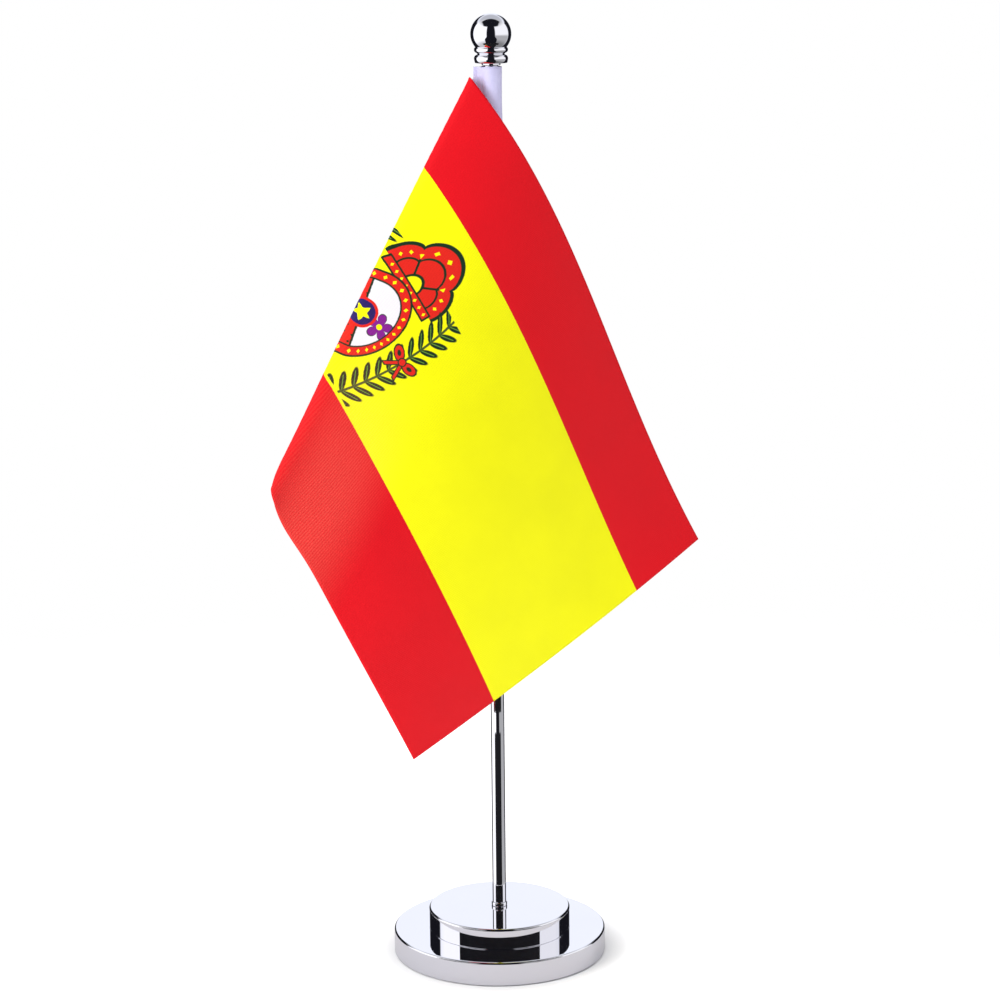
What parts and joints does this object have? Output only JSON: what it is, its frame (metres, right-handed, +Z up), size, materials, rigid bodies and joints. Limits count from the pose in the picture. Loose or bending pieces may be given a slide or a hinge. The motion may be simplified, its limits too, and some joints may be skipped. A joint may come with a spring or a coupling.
{
  "type": "desk flag stand",
  "caption": "Desk flag stand: stepped round chromed base with a weight inside, screwed pole, ball finial and a striped table flag on a sewn sleeve that turns on the pole.",
  "frame": {"origin": "centre of the base's underside, on the pole's axis, where the pad meets the table", "axes": "+Z up along the pole, -Y towards the side the cloth hangs across, +X towards the cloth's free end"},
  "size_m": [0.1465, 0.0993, 0.33],
  "materials": {
    "chrome": "polished chrome plate",
    "cast_iron": "as cast, thin black paint",
    "core_steel": "plain turned steel",
    "zinc_steel": "bright zinc plated",
    "brass": "plain turned brass",
    "pad_foam": "closed-cell foam",
    "sleeve_fabric": "white satin weave",
    "flag_fabric": "printed satin polyester, red, yellow and red bands",
    "thread": "white polyester thread"
  },
  "bodies": {
    "base": {"foot_pad": "pad_foam", "base_shell": "chrome", "base_weight": "cast_iron", "base_screw": "zinc_steel", "spring_washer": "zinc_steel", "base_washer": "zinc_steel", "plinth_shell": "chrome", "plinth_core": "core_steel", "coupling_nut": "brass"},
    "foot_ring": {"foot_collar": "chrome"},
    "lower_pole": {"lower_tube": "chrome", "lower_stud": "zinc_steel"},
    "joint_ring": {"joint_collar": "chrome"},
    "upper_pole": {"upper_tube": "chrome", "upper_stud": "zinc_steel"},
    "finial_ring": {"finial_washer": "chrome"},
    "finial": {"finial_ball": "chrome", "finial_stud": "zinc_steel"},
    "flag": {"flag_sleeve": "sleeve_fabric", "flag_cloth": "flag_fabric", "sleeve_stitching": "thread"}
  },
  "joints": [
    {"name": "foot_lift", "type": "slide", "parent": "base", "child": "foot_ring", "axis": [0, 0, 1], "range_m": [0, 0.003]},
    {"name": "lower_pole_turn", "type": "hinge", "parent": "foot_ring", "child": "lower_pole", "pos_m": [0, 0, 0.0176], "axis": [0, 0, 1], "range_deg": [0, 2161]},
    {"name": "joint_lift", "type": "slide", "parent": "lower_pole", "child": "joint_ring", "axis": [0, 0, 1], "range_m": [0, 0.005]},
    {"name": "upper_pole_turn", "type": "hinge", "parent": "joint_ring", "child": "upper_pole", "pos_m": [0, 0, 0.1659], "axis": [0, 0, 1], "range_deg": [0, 3601]},
    {"name": "finial_lift", "type": "slide", "parent": "upper_pole", "child": "finial_ring", "axis": [0, 0, 1], "range_m": [0, 0.005]},
    {"name": "finial_turn", "type": "hinge", "parent": "finial_ring", "child": "finial", "pos_m": [0, 0, 0.3135], "axis": [0, 0, 1], "range_deg": [0, 3601]},
    {"name": "flag_swivel", "type": "hinge", "parent": "upper_pole", "child": "flag", "pos_m": [0, 0, 0.24], "axis": [0, 0, 1], "continuous": true}
  ],
  "couplings": [
    {"joint": "lower_pole_turn", "follows": "foot_lift", "rad_per_m": 12566},
    {"joint": "upper_pole_turn", "follows": "joint_lift", "rad_per_m": 12566},
    {"joint": "finial_turn", "follows": "finial_lift", "rad_per_m": 12566}
  ]
}
